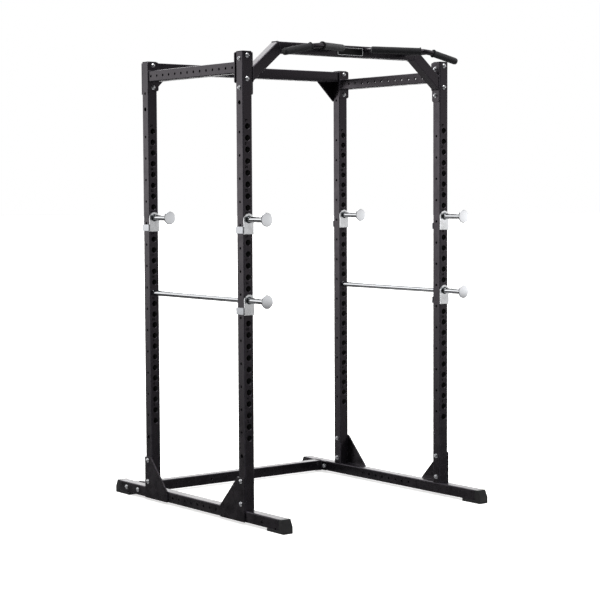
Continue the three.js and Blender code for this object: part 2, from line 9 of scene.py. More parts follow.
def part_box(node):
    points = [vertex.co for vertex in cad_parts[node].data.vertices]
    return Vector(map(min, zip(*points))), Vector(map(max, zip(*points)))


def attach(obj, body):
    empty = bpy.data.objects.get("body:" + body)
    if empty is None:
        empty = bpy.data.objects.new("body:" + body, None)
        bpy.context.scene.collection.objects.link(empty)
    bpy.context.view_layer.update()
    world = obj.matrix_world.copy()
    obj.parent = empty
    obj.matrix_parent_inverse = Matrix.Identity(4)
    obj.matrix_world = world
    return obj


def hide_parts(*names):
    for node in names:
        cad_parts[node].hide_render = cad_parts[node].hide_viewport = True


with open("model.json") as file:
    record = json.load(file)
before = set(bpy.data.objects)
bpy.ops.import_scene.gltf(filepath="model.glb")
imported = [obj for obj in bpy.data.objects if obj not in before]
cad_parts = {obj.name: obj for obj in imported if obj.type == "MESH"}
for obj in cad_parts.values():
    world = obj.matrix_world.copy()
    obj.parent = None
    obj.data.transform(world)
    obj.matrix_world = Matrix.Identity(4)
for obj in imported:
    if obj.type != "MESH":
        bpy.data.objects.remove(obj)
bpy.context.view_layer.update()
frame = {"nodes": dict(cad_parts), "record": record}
mm = 0.001
print("frame loaded:", len(frame["nodes"]), "parts")

corners = [("FrontLeft", "front_left", -1, -1), ("FrontRight", "front_right", 1, -1),
           ("RearLeft", "rear_left", -1, 1), ("RearRight", "rear_right", 1, 1)]
sides = [("Left", "left", -1), ("Right", "right", 1)]


cameraView = {
    "azimuth": -37.42,      # degrees, measured from straight in front
    "elevation": 3.65,
    "distance": 8.084,
    "aimAbove": 0.9363,     # height looked at
    "aimAside": 0.0188,
    "lens": 102.9,
    "roll": -0.27,
}


def placeCamera():
    a, e = math.radians(cameraView["azimuth"]), math.radians(cameraView["elevation"])
    aim = Vector((cameraView["aimAside"], 0, cameraView["aimAbove"]))
    away = Vector((math.sin(a) * math.cos(e), -math.cos(a) * math.cos(e), math.sin(e)))
    cam = bpy.data.cameras.new("studioCamera")
    cam.lens = cameraView["lens"]
    cam.sensor_width = 36
    cam.clip_end = 100
    holder = bpy.data.objects.new("studioCamera", cam)
    bpy.context.scene.collection.objects.link(holder)
    holder.location = aim + away * cameraView["distance"]
    facing = (-away).to_track_quat("-Z", "Y").to_matrix().to_4x4()
    turn = Matrix.Rotation(math.radians(cameraView["roll"]), 4, "Z")
    holder.matrix_world = Matrix.Translation(holder.location) @ facing @ turn
    bpy.context.scene.camera = holder


placeCamera()


def linearColour(hexText):
    parts = [int(hexText[i:i + 2], 16) / 255 for i in (1, 3, 5)]
    return [c / 12.92 if c <= 0.04045 else ((c + 0.055) / 1.055) ** 2.4 for c in parts] + [1.0]


def addNode(tree, kind, settings=None, values=None, links=None):
    node = tree.nodes.new(kind)
    for key, value in (settings or {}).items():
        setattr(node, key, value)
    for socket, value in (values or {}).items():
        node.inputs[socket].default_value = value
    for socket, source in (links or {}).items():
        tree.links.new(source, node.inputs[socket])
    return node


def newFinish(name, metallic=0.0, ior=1.5):
    finish = bpy.data.materials.new(name)
    finish.use_nodes = True
    shader = finish.node_tree.nodes["Principled BSDF"]
    shader.inputs["Metallic"].default_value = metallic
    shader.inputs["IOR"].default_value = ior
    where = addNode(finish.node_tree, "ShaderNodeTexCoord")
    return finish, finish.node_tree, shader, where.outputs["Object"]


# Satin polyester powder coat, sprayed and baked on steel tube: deep charcoal black,
# a soft broad highlight broken by orange peel, paler on edges where the film thins, with a painted edge
# highlight there too.
def powderCoat():
    coat = {"dark": "#131215", "light": "#1b1a1d", "edge": "#45434a", "peel": 3.2, "cloud": 45,
            "peelHeight": 0.05, "roughLow": 0.22, "roughHigh": 0.32, "sheenTint": "#fff0ff", "gloss": 0.52}
    finish, tree, shader, place = newFinish("blackPowderCoat", ior=1.52)
    shader.inputs["Specular IOR Level"].default_value = coat["gloss"]
    shader.inputs["Specular Tint"].default_value = linearColour(coat["sheenTint"])
    # real orange peel is about 1 mm across; drawn three times coarser so that it shows
    peel = addNode(tree, "ShaderNodeTexNoise", None,
                   {"Scale": 1 / (coat["peel"] * mm), "Detail": 3.0, "Roughness": 0.55}, {"Vector": place})
    cloud = addNode(tree, "ShaderNodeTexNoise", None,
                    {"Scale": 1 / (coat["cloud"] * mm), "Detail": 4.0}, {"Vector": place})
    rough = addNode(tree, "ShaderNodeMapRange", None,
                    {"From Min": 0.3, "From Max": 0.7,
                      "To Min": coat["roughLow"], "To Max": coat["roughHigh"]},
                    {"Value": cloud.outputs["Fac"]})
    body = addNode(tree, "ShaderNodeMix", {"data_type": "RGBA"},
                   {6: linearColour(coat["dark"]), 7: linearColour(coat["light"])},
                   {0: cloud.outputs["Fac"]})
    # pale colour on narrow edge faces: thin film plus a painted edge highlight
    edgeTone = addNode(tree, "ShaderNodeAttribute", {"attribute_name": "edgeWear"})
    patchy = addNode(tree, "ShaderNodeMath", {"operation": "MULTIPLY"}, None,
                     {0: edgeTone.outputs["Fac"], 1: cloud.outputs["Fac"]})
    colour = addNode(tree, "ShaderNodeMix", {"data_type": "RGBA"}, {7: linearColour(coat["edge"])},
                     {0: patchy.outputs[0], 6: body.outputs[2]})
    bump = addNode(tree, "ShaderNodeBump", None, {"Strength": 0.35, "Distance": coat["peelHeight"] * mm},
                   {"Height": peel.outputs["Fac"]})
    for socket, source in (("Base Color", colour.outputs[2]), ("Roughness", rough.outputs[0]),
                           ("Normal", bump.outputs[0])):
        tree.links.new(source, shader.inputs[socket])
    return finish


# Electroplated metal: base colour, cloudy bloom in the plating and polish or rolling lines.
def platedMetal(name, plate):
    finish, tree, shader, place = newFinish(name, metallic=1.0)
    stretch = addNode(tree, "ShaderNodeMapping", None, {"Scale": plate["stretch"]}, {"Vector": place})
    lines = addNode(tree, "ShaderNodeTexNoise", None,
                    {"Scale": 1 / (plate["grain"] * mm), "Detail": 4.0, "Roughness": 0.6},
                    {"Vector": stretch.outputs[0]})
    bloom = addNode(tree, "ShaderNodeTexNoise", None,
                    {"Scale": 1 / (plate["bloom"] * mm), "Detail": 3.0}, {"Vector": place})
    colour = addNode(tree, "ShaderNodeMix", {"data_type": "RGBA"},
                     {6: linearColour(plate["deep"]), 7: linearColour(plate["bright"])},
                     {0: bloom.outputs["Fac"]})
    blend = addNode(tree, "ShaderNodeMath", {"operation": "ADD"}, None,
                    {0: bloom.outputs["Fac"], 1: lines.outputs["Fac"]})
    rough = addNode(tree, "ShaderNodeMapRange", None,
                    {"From Min": 0.7, "From Max": 1.3,
                      "To Min": plate["roughLow"], "To Max": plate["roughHigh"]},
                    {"Value": blend.outputs[0]})
    bump = addNode(tree, "ShaderNodeBump", None, {"Strength": 0.3, "Distance": plate["relief"] * mm},
                   {"Height": lines.outputs["Fac"]})
    for socket, source in (("Base Color", colour.outputs[2]), ("Roughness", rough.outputs[0]),
                           ("Normal", bump.outputs[0])):
        tree.links.new(source, shader.inputs[socket])
    return finish


# Rubber, plastic, foam, enamel or ink: a haze between two shades over a fine grain.
def grainedSkin(name, mould):
    finish, tree, shader, place = newFinish(name, ior=mould["ior"])
    grain = addNode(tree, "ShaderNodeTexVoronoi", None,
                    {"Scale": 1 / (mould["grain"] * mm)}, {"Vector": place})
    haze = addNode(tree, "ShaderNodeTexNoise", None,
                   {"Scale": 1 / (mould["haze"] * mm), "Detail": 4.0}, {"Vector": place})
    colour = addNode(tree, "ShaderNodeMix", {"data_type": "RGBA"},
                     {6: linearColour(mould["dark"]), 7: linearColour(mould["light"])},
                     {0: haze.outputs["Fac"]})
    rough = addNode(tree, "ShaderNodeMapRange", None,
                    {"From Min": 0.3, "From Max": 0.7,
                      "To Min": mould["roughLow"], "To Max": mould["roughHigh"]},
                    {"Value": haze.outputs["Fac"]})
    bump = addNode(tree, "ShaderNodeBump", None, {"Strength": 0.6, "Distance": mould["relief"] * mm},
                   {"Height": grain.outputs["Distance"]})
    shader.inputs["Sheen Weight"].default_value = mould["sheen"]
    shader.inputs["Specular IOR Level"].default_value = mould["gloss"]
    for socket, source in (("Base Color", colour.outputs[2]), ("Roughness", rough.outputs[0]),
                           ("Normal", bump.outputs[0])):
        tree.links.new(source, shader.inputs[socket])
    return finish


finishes = {
    "powder": powderCoat(),
    # Bright zinc plate on pressed steel: pale blue-white with a cloudy bloom.
    "zinc": platedMetal("brightZincPlate", {
        "deep": "#ebedf0", "bright": "#fafafb", "grain": 4, "bloom": 18, "stretch": (1, 1, 0.25),
        "roughLow": 0.18, "roughHigh": 0.3, "relief": 0.04}),
    # The same plate on the bent strap, drawn duller and greyer than the front plate: painted shade.
    "shadedStrapZinc": platedMetal("dullZincPlate", {
        "deep": "#b9bbbf", "bright": "#d6d8dc", "grain": 4, "bloom": 14, "stretch": (1, 1, 1),
        "roughLow": 0.24, "roughHigh": 0.36, "relief": 0.04}),
    # Zinc-plated bolts and washers: the same plate dulled by tumbling, so each head shows as one pale spot.
    "boltZinc": platedMetal("tumbledZincPlate", {
        "deep": "#d4d6da", "bright": "#efeff1", "grain": 4, "bloom": 12, "stretch": (1, 1, 1),
        "roughLow": 0.22, "roughHigh": 0.34, "relief": 0.02}),
    # Hard chrome on ground bar: mirror bright, with faint lines drawn out along the bar.
    "chrome": platedMetal("polishedChrome", {
        "deep": "#d5d7db", "bright": "#eeeff1", "grain": 2.5, "bloom": 60, "stretch": (1, 0.04, 1),
        "roughLow": 0.07, "roughHigh": 0.15, "relief": 0.01}),
    # A darker, rougher grey zinc collar where the rod meets the plate.
    "collarZinc": platedMetal("weldedZinc", {
        "deep": "#2e3133", "bright": "#4c5052", "grain": 3, "bloom": 8, "stretch": (1, 1, 1),
        "roughLow": 0.3, "roughHigh": 0.45, "relief": 0.15}),
    # Silver screen ink round the name plate: a pale grey line, a little uneven.
    "silver": grainedSkin("silverScreenInk", {
        "dark": "#c4c5c8", "light": "#dcdde0", "grain": 1.5, "haze": 12, "ior": 1.5,
        "roughLow": 0.3, "roughHigh": 0.42, "relief": 0.02, "sheen": 0.0, "gloss": 0.6}),
    # Moulded SBR rubber: flat black-grey with a pebbled anti-slip grain and dusty haze.
    "rubber": grainedSkin("pebbledRubber", {
        "dark": "#1a1a1b", "light": "#2a2a2c", "grain": 3.5, "haze": 14, "ior": 1.52,
        "roughLow": 0.3, "roughHigh": 0.42, "relief": 0.12, "sheen": 0.02, "gloss": 0.45}),
    # Injection-moulded polyethylene: black with a fine spark-eroded grain.
    "plastic": grainedSkin("mouldedPolyethylene", {
        "dark": "#131315", "light": "#202023", "grain": 1.2, "haze": 20, "ior": 1.51,
        "roughLow": 0.42, "roughHigh": 0.55, "relief": 0.08, "sheen": 0.0, "gloss": 0.5}),
    # Closed-cell nitrile foam: soft matt black, skin dimpled by the cells.
    "foam": grainedSkin("nitrileFoam", {
        "dark": "#1d1d20", "light": "#2f2f33", "grain": 2.6, "haze": 9, "ior": 1.45,
        "roughLow": 0.75, "roughHigh": 0.92, "relief": 0.35, "sheen": 0.25, "gloss": 0.5}),
    # Gloss enamel on the blank name plate: black, a little orange peel.
    "enamel": grainedSkin("glossEnamel", {
        "dark": "#0a0a0c", "light": "#111113", "grain": 6, "haze": 30, "ior": 1.52,
        "roughLow": 0.3, "roughHigh": 0.38, "relief": 0.03, "sheen": 0.0, "gloss": 0.2}),
    # Bare steel inside the tubes, out of the spray's reach, drawn near black and dull: partly the steel's
    # mill scale, partly painted shade in the bore.
    "bore": grainedSkin("millScaleBore", {
        "dark": "#060607", "light": "#0c0b0b", "grain": 5, "haze": 12, "ior": 1.5,
        "roughLow": 0.7, "roughHigh": 0.85, "relief": 0.05, "sheen": 0.0, "gloss": 0.3}),
    # Roll-stamped figures, their walls in shade: dead black against the satin paint.
    "stamp": grainedSkin("stampedFigure", {
        "dark": "#020202", "light": "#050506", "grain": 2, "haze": 6, "ior": 1.5,
        "roughLow": 0.8, "roughHigh": 0.95, "relief": 0.03, "sheen": 0.0, "gloss": 0.04}),
}
print("finishes:", len(finishes))


def partBox(node):
    low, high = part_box(node)
    return low / mm, high / mm


def onAxis(axis, a, b, along):
    return Vector({"x": (along, a, b), "y": (a, along, b), "z": (a, b, along)}[axis])


def roundedRing(a, b, wide, tall, radius, steps=4):
    ring = []
    for quarter, (sa, sb) in enumerate(((1, 1), (-1, 1), (-1, -1), (1, -1))):
        for i in range(steps + 1):
            angle = (quarter + i / steps) * math.pi / 2
            ring.append((a + sa * (wide / 2 - radius) + radius * math.cos(angle),
                         b + sb * (tall / 2 - radius) + radius * math.sin(angle)))
    return ring


def loft(bm, rings, joined=False):
    rows = [[bm.verts.new(p) for p in ring] for ring in rings]
    if joined:
        rows.append(rows[0])
    for near, far in zip(rows, rows[1:]):
        for i in range(len(near)):
            j = (i + 1) % len(near)
            bm.faces.new((near[i], near[j], far[j], far[i]))
    if not joined:
        bm.faces.new(rows[0])
        bm.faces.new(rows[-1])


def tubeShape(bm, axis, a, b, start, end, tube):
    outer = roundedRing(a, b, tube["size"], tube["size"], tube["corner"])
    bore = tube["size"] - 2 * tube["wall"]
    inner = roundedRing(a, b, bore, bore, tube["corner"] - tube["wall"])
    lip = tube["lip"]
    brim = roundedRing(a, b, tube["size"] - 2 * lip, tube["size"] - 2 * lip, tube["corner"] - lip)
    loft(bm, [[onAxis(axis, u, v, at) for u, v in ring] for ring, at in (
        (brim, start), (outer, start + lip), (outer, end - lip), (brim, end), (inner, end), (inner, start))],
        joined=True)


def plateShape(bm, axis, outline, low, high, edge=0.8, segments=2):
    part = bmesh.new()
    loft(part, [[onAxis(axis, a, b, at) for a, b in outline] for at in (low, high)])
    bmesh.ops.recalc_face_normals(part, faces=part.faces)
    if edge:
        rims = [e for e in part.edges if e.calc_face_angle(0) > math.radians(50)]
        bmesh.ops.bevel(part, geom=rims, offset=edge, segments=segments, profile=0.5, affect="EDGES")
    held = bpy.data.meshes.new("held")
    part.to_mesh(held)
    part.free()
    bm.from_mesh(held)
    bpy.data.meshes.remove(held)


def hexReach(angle, corner):
    return corner * math.cos(math.pi / 6) / math.cos((angle % (math.pi / 3)) - math.pi / 6)


# Turns a profile of (along, radius, hexagonal or not) about a line.
def turnedShape(bm, start, direction, profile, turns=32):
    line = Vector(direction).normalized()
    side = line.orthogonal().normalized()
    up = line.cross(side)
    rows = []
    for along, radius, *isHex in profile:
        centre = Vector(start) + line * along
        if radius == 0:
            rows.append([bm.verts.new(centre)])
            continue
        row = []
        for i in range(turns):
            angle = 2 * math.pi * i / turns
            reach = hexReach(angle, radius) if isHex and isHex[0] else radius
            row.append(bm.verts.new(centre + (side * math.cos(angle) + up * math.sin(angle)) * reach))
        rows.append(row)
    if len(rows[0]) > 1 or len(rows[-1]) > 1:
        rows.append(rows[0])
    for near, far in zip(rows, rows[1:]):
        for i in range(turns):
            j = (i + 1) % turns
            if len(near) == 1 and len(far) == 1:
                break
            if len(near) == 1:
                bm.faces.new((near[0], far[j], far[i]))
            elif len(far) == 1:
                bm.faces.new((near[i], near[j], far[0]))
            else:
                bm.faces.new((near[i], near[j], far[j], far[i]))


def sweptRound(bm, points, radius, turns=20):
    side = (points[1] - points[0]).orthogonal().normalized()
    rings = []
    for i, point in enumerate(points):
        ahead = points[min(i + 1, len(points) - 1)] - points[max(i - 1, 0)]
        ahead.normalize()
        side = (side - ahead * side.dot(ahead)).normalized()
        up = ahead.cross(side)
        rings.append([point + (side * math.cos(t) + up * math.sin(t)) * radius
                      for t in (2 * math.pi * k / turns for k in range(turns))])
    loft(bm, rings)


def toObject(name, bm):
    bmesh.ops.recalc_face_normals(bm, faces=bm.faces)
    bm.transform(Matrix.Scale(mm, 4))
    mesh = bpy.data.meshes.new(name)
    bm.to_mesh(mesh)
    bm.free()
    piece = bpy.data.objects.new(name, mesh)
    bpy.context.scene.collection.objects.link(piece)
    return piece


def applyTree(piece, tree, values):
    step = piece.modifiers.new(tree.name, "NODES")
    step.node_group = tree
    for item in tree.interface.items_tree:
        if item.item_type == "SOCKET" and item.in_out == "INPUT" and item.name in values:
            step[item.identifier] = values[item.name]


def bakeModifiers(piece):
    graph = bpy.context.evaluated_depsgraph_get()
    mesh = bpy.data.meshes.new_from_object(piece.evaluated_get(graph), depsgraph=graph)
    mesh.name = piece.name
    piece.modifiers.clear()
    piece.data = mesh


# Narrow faces, the ones along edges and hole rims, are marked for the paint's pale edges: its thin spots and
# a painted edge highlight.
def markEdges(mesh, narrow=3.2 * mm):
    marks = []
    for face in mesh.polygons:
        points = [mesh.vertices[i].co for i in face.vertices]
        longest = max((a - b).length for a, b in zip(points, points[1:] + points[:1]))
        marks.append(1.0 if longest and face.area / longest < narrow else 0.0)
    mark = mesh.attributes.new("edgeWear", "FLOAT", "FACE")
    mark.data.foreach_set("value", marks)


# Faces inside a tube's bore take the near-black bare steel finish, which is partly painted shade.
def shadeBore(mesh, axis, a, b):
    mesh.materials.append(finishes["bore"])
    reach = (tube["size"] / 2 - tube["wall"] + 0.2) * mm
    first, second = {"x": (1, 2), "y": (0, 2), "z": (0, 1)}[axis]
    for face in mesh.polygons:
        spots = [mesh.vertices[i].co for i in face.vertices]
        if all(abs(v[first] - a * mm) < reach and abs(v[second] - b * mm) < reach for v in spots):
            face.material_index = 1


def makePiece(piece, finish, body, replaced=(), weighted=True, sharp=32, bore=None):
    piece.data.materials.clear()
    piece.data.materials.append(finishes[finish])
    if bore:
        shadeBore(piece.data, *bore)
    piece.data.shade_smooth()
    piece.data.set_sharp_from_angle(angle=math.radians(sharp))
    if weighted:
        even = piece.modifiers.new("even", "WEIGHTED_NORMAL")
        even.keep_sharp = True
        even.weight = 100
        bakeModifiers(piece)
    if finish == "powder":
        markEdges(piece.data)
    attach(piece, body)
    if replaced:
        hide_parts(*replaced)
    return piece


def newTree(name, sockets):
    tree = bpy.data.node_groups.new(name, "GeometryNodeTree")
    tree.interface.new_socket("Geometry", in_out="INPUT", socket_type="NodeSocketGeometry")
    for label, kind in sockets:
        tree.interface.new_socket(label, in_out="INPUT", socket_type="NodeSocket" + kind)
    tree.interface.new_socket("Geometry", in_out="OUTPUT", socket_type="NodeSocketGeometry")
    given = addNode(tree, "NodeGroupInput").outputs
    return tree, given


def endTree(tree, given, geometry):
    real = addNode(tree, "GeometryNodeRealizeInstances", None, None, {"Geometry": geometry})
    painted = addNode(tree, "GeometryNodeSetMaterial", None, None,
                      {"Geometry": real.outputs[0], "Material": given["Finish"]})
    addNode(tree, "NodeGroupOutput", None, None, {"Geometry": painted.outputs[0]})


# A row of equal holes cut through a piece.
def drillTree():
    tree, given = newTree("drillHoles", [("Bit", "Object"), ("First Hole", "Vector"), ("Step", "Vector"),
                                         ("Count", "Int"), ("Finish", "Material")])
    row = addNode(tree, "GeometryNodeMeshLine", {"mode": "OFFSET"}, None,
                  {"Count": given["Count"], "Start Location": given["First Hole"], "Offset": given["Step"]})
    bit = addNode(tree, "GeometryNodeObjectInfo", None, None, {"Object": given["Bit"]})
    bits = addNode(tree, "GeometryNodeInstanceOnPoints", None, None,
                   {"Points": row.outputs[0], "Instance": bit.outputs["Geometry"]})
    real = addNode(tree, "GeometryNodeRealizeInstances", None, None, {"Geometry": bits.outputs[0]})
    cut = addNode(tree, "GeometryNodeMeshBoolean", {"operation": "DIFFERENCE", "solver": "MANIFOLD"}, None,
                  {"Mesh 1": given["Geometry"], "Mesh 2": real.outputs[0]})
    endTree(tree, given, cut.outputs[0])
    return tree


# A weld bead along a path: its radius swells and dips with each ripple.
def beadTree():
    tree, given = newTree("weldBead", [("Bead Radius", "Float"), ("Ripple Length", "Float"),
                                       ("Ripple Depth", "Float"), ("Seed", "Int"), ("Finish", "Material")])
    path = addNode(tree, "GeometryNodeMeshToCurve", None, None, {"Mesh": given["Geometry"]})
    steps = addNode(tree, "GeometryNodeResampleCurve", {"mode": "LENGTH"}, None,
                    {"Curve": path.outputs[0], "Length": given["Ripple Length"]})
    swell = addNode(tree, "FunctionNodeRandomValue", {"data_type": "FLOAT"}, {2: 0.0, 3: 1.0},
                    {"Seed": given["Seed"]})
    depth = addNode(tree, "ShaderNodeMath", {"operation": "MULTIPLY_ADD"}, {2: 0.9},
                    {0: swell.outputs[1], 1: given["Ripple Depth"]})
    section = addNode(tree, "GeometryNodeCurvePrimitiveCircle", None, {"Resolution": 8},
                      {"Radius": given["Bead Radius"]})
    bead = addNode(tree, "GeometryNodeCurveToMesh", None, {"Fill Caps": True},
                   {"Curve": steps.outputs[0], "Profile Curve": section.outputs[0],
                    "Scale": depth.outputs[0]})
    endTree(tree, given, bead.outputs[0])
    return tree


# The same fastener at every point, along the point's "facing", each at its own turn.
def fastenerTree():
    tree, given = newTree("fasteners", [("Fastener", "Object"), ("Size", "Float"), ("Seed", "Int"),
                                        ("Finish", "Material")])
    master = addNode(tree, "GeometryNodeObjectInfo", None, None, {"Object": given["Fastener"]})
    facing = addNode(tree, "GeometryNodeInputNamedAttribute", {"data_type": "FLOAT_VECTOR"},
                     {"Name": "facing"})
    turn = addNode(tree, "FunctionNodeRandomValue", {"data_type": "FLOAT"}, {2: 0.0, 3: 2 * math.pi},
                   {"Seed": given["Seed"]})
    about = addNode(tree, "ShaderNodeCombineXYZ", None, None, {"Z": turn.outputs[1]})
    spun = addNode(tree, "FunctionNodeEulerToRotation", None, None, {0: about.outputs[0]})
    aimed = addNode(tree, "FunctionNodeAlignRotationToVector", {"axis": "Z"}, None,
                    {"Rotation": spun.outputs[0], "Vector": facing.outputs[0]})
    placed = addNode(tree, "GeometryNodeInstanceOnPoints", None, None,
                     {"Points": given["Geometry"], "Instance": master.outputs["Geometry"],
                      "Rotation": aimed.outputs[0], "Scale": given["Size"]})
    endTree(tree, given, placed.outputs[0])
    return tree


drillHoles, weldBead, placeFasteners = drillTree(), beadTree(), fastenerTree()
weldPaths = []          # rings and runs where tube meets plate, in millimetres
spareShapes = []        # bits and masters, taken away at the end

tube = {"size": 50, "wall": 2, "corner": 4.5, "lip": 0.5}


# A drill bit through both walls, its shoulders easing each hole's outer rim.
def drillBit(name, axis, radius, rim, oneWall=0):
    half = tube["size"] / 2
    wide = radius + rim + 2
    profile = [(half + 2, 0), (half + 2, wide), (half - rim, radius)]
    if oneWall:
        profile += [(0, radius), (0, 0)]
    else:
        profile += [(rim - half, radius), (-half - 2, wide), (-half - 2, 0)]
    bm = bmesh.new()
    way = {"x": Vector((1, 0, 0)), "y": Vector((0, 1, 0))}[axis] * (oneWall or 1)
    turnedShape(bm, (0, 0, 0), way, profile[::-1], turns=28)
    bit = toObject(name, bm)
    spareShapes.append(bit)
    return bit


pinBit = drillBit("pinBit", "y", 13, 0.9)
screwBitX = drillBit("screwBitX", "x", 6, 0.3)
ventBit = drillBit("ventBit", "y", 5, 0.4, -1)
endBits = {-1: drillBit("endBitLeft", "x", 6, 0.5, -1), 1: drillBit("endBitRight", "x", 6, 0.5, 1)}
accessBits = {-1: drillBit("accessBitLeft", "x", 9, 0.6, -1), 1: drillBit("accessBitRight", "x", 9, 0.6, 1)}


def drill(piece, bit, first, step, count):
    applyTree(piece, drillHoles, {"Bit": bit, "First Hole": [v * mm for v in first],
                                  "Step": [v * mm for v in step], "Count": count,
                                  "Finish": finishes["powder"]})


# A length of square tube with its rows of holes, each row (bit, first hole, step, count).
def drilledTube(axis, a, b, start, end, rows):
    bm = bmesh.new()
    tubeShape(bm, axis, a, b, start, end, tube)
    blank = toObject("drilledTube", bm)
    for bit, first, step, count in rows:
        drill(blank, bit, first, step, count)
    bakeModifiers(blank)
    whole = bmesh.new()
    whole.from_mesh(blank.data)
    whole.transform(Matrix.Scale(1 / mm, 4))
    bpy.data.objects.remove(blank)
    return whole


def tubeRing(axis, a, b, at, grow=0.6):
    size = tube["size"] + 2 * grow
    return [onAxis(axis, u, v, at) for u, v in roundedRing(a, b, size, size, tube["corner"] + grow, 2)]


post = {"firstHoleDown": 319, "pitch": 50, "holes": 28, "sideHoleDown": 344, "sidePitch": 100,
        "sideHoles": 14, "highHoleDown": 144, "accessDown": (217, 1747), "figureSize": 15,
        "figureAside": -8, "figureUp": 25, "figureEvery": 2, "figureBold": 0.7}


def makeUpright(label, corner, sx, sy):
    low, high = partBox("upright_" + corner)
    x, y = (low.x + high.x) / 2, (low.y + high.y) / 2
    top = high.z
    first, second = post["accessDown"]
    rows = [(pinBit, (x, y, top - post["firstHoleDown"]), (0, 0, -post["pitch"]), post["holes"]),
            (screwBitX, (x, y, top - post["sideHoleDown"]), (0, 0, -post["sidePitch"]), post["sideHoles"]),
            (accessBits[sx], (x, y, top - first), (0, 0, first - second), 2)]
    if sy > 0:
        rows.append((screwBitX, (x, y, top - post["highHoleDown"]), (0, 0, -1), 1))
    bm = drilledTube("z", x, y, low.z, top, rows)
    makePiece(toObject("upright" + label, bm), "powder", "frame", ["upright_" + corner],
              bore=("z", x, y))
    return x, low.y, top


# The hole numbers stamped beside every second hole, counted from the floor up.
def makeFigures(label, x, face, top):
    drawn = []
    for hole in range(0, post["holes"], post["figureEvery"]):
        text = bpy.data.curves.new("figure", "FONT")
        text.body = str(post["holes"] - hole)
        text.size = post["figureSize"] * mm
        text.extrude = 0.06 * mm
        text.offset = post["figureBold"] * mm
        text.align_x = "CENTER"
        text.align_y = "CENTER"
        holder = bpy.data.objects.new("figure", text)
        bpy.context.scene.collection.objects.link(holder)
        z = top - post["firstHoleDown"] - hole * post["pitch"] + post["figureUp"]
        spot = Vector((x + post["figureAside"], face - 0.06, z)) * mm
        graph = bpy.context.evaluated_depsgraph_get()
        mesh = bpy.data.meshes.new_from_object(holder.evaluated_get(graph), depsgraph=graph)
        mesh.transform(Matrix.Translation(spot) @ Matrix.Rotation(math.pi / 2, 4, "X"))
        drawn.append(mesh)
        bpy.data.objects.remove(holder)
    bm = bmesh.new()
    for mesh in drawn:
        bm.from_mesh(mesh)
    bmesh.ops.remove_doubles(bm, verts=bm.verts, dist=1e-6)
    bm.transform(Matrix.Scale(1 / mm, 4))
    piece = toObject("holeFigures" + label, bm)
    makePiece(piece, "stamp", "frame", weighted=False)


for label, corner, sx, sy in corners:
    makeFigures(label, *makeUpright(label, corner, sx, sy))
print("uprights drilled")


cap = {"corner": 5, "skirt": 1.4}


def makeCap(label, corner):
    low, high = partBox("top_cap_" + corner)
    x, y = (low.x + high.x) / 2, (low.y + high.y) / 2
    wide = high.x - low.x
    seat = high.z - 3
    rings = []
    for inset, z in ((3, low.z), (3, seat), (0.2, seat), (0, seat + 0.4), (0, seat + cap["skirt"]),
                     (0.5, seat + 2.2), (1.6, high.z - 0.3), (4.5, high.z - 0.05), (16, high.z)):
        rings.append([(a, b, z) for a, b in roundedRing(x, y, wide - 2 * inset, wide - 2 * inset,
                                                       max(cap["corner"] - inset, 0.8))])
    bm = bmesh.new()
    loft(bm, [[Vector(p) for p in ring] for ring in rings])
    makePiece(toObject("topCap" + label, bm), "plastic", "frame", ["top_cap_" + corner])


for label, corner, sx, sy in corners:
    makeCap(label, corner)


base = {"gusset": 6, "gussetTop": 206, "head": 51, "reach": 185, "slopeFoot": 3,
        "holeStep": 50, "holes": 8, "endHoles": ((-520, 31), (-618, 16))}
shoe = {"toe": 16, "toeUp": 30, "ease": 2.2, "soleGap": 0.3, "groove": 3, "grooves": 5}


def makeBaseRail(label, side, sx):
    postLow, postHigh = partBox("upright_front_" + side)
    low, high = partBox("base_rail_" + side)
    x = (postLow.x + postHigh.x) / 2
    middle = low.z + tube["size"] / 2
    start = -(base["holes"] - 1) / 2 * base["holeStep"]
    rows = [(screwBitX, (x, start, middle), (0, base["holeStep"], 0), base["holes"])]
    rows += [(endBits[sx], (x, y, z), (0, 1, 0), 1) for y, z in base["endHoles"]]
    whole = drilledTube("y", x, middle, low.y, high.y, rows)
    outer = high.x if sx > 0 else low.x
    inner = outer - sx * base["gusset"]
    railTop = low.z + tube["size"]
    for sy in (-1, 1):
        edge = -postLow.y
        far = edge - base["reach"]
        shape = [(sy * edge, low.z), (sy * edge, base["gussetTop"]),
                 (sy * (edge - base["head"]), base["gussetTop"]),
                 (sy * far, railTop + base["slopeFoot"]), (sy * far, low.z)]
        plateShape(whole, "x", shape, min(inner, outer), max(inner, outer), 0.9)
        weldPaths.append(([Vector((inner + sx * 0.4, sy * (edge - 52), railTop - 0.5)),
                           Vector((inner + sx * 0.4, sy * (far + 2), railTop - 0.5))], False))
        weldPaths.append(([Vector((outer - sx * 3, sy * far, low.z + 5)),
                           Vector((outer - sx * 3, sy * far, railTop - 6))], False))
    makePiece(toObject("baseRail" + label, whole), "powder", "frame", ["base_rail_" + side],
              bore=("y", x, middle))


def makeFoot(label, corner, sy):
    low, high = partBox("foot_" + corner)
    far = max(abs(low.y), abs(high.y))
    railEnd = max(abs(v.y) for v in partBox("base_rail_" + corner.split("_")[1])) + shoe["soleGap"]
    start = min(abs(low.y), abs(high.y))
    sole = 12 - shoe["soleGap"]
    outline = [(start, 0)]
    pitch = (far - start) / (shoe["grooves"] + 1)
    for i in range(shoe["grooves"]):      # grip grooves across the sole
        at = start + (i + 1) * pitch
        outline += [(at - shoe["groove"], 0), (at - shoe["groove"] / 2, 2.2), (at + shoe["groove"] / 2, 2.2),
                    (at + shoe["groove"], 0)]
    outline += [(far, 0), (far, shoe["toeUp"]), (far - shoe["toe"], high.z), (railEnd, high.z),
                (railEnd, sole), (start, sole)]
    bm = bmesh.new()
    plateShape(bm, "x", [(sy * a, b) for a, b in outline], low.x, high.x, shoe["ease"] / 2, 3)
    makePiece(toObject("foot" + label, bm), "rubber", "frame", ["foot_" + corner])


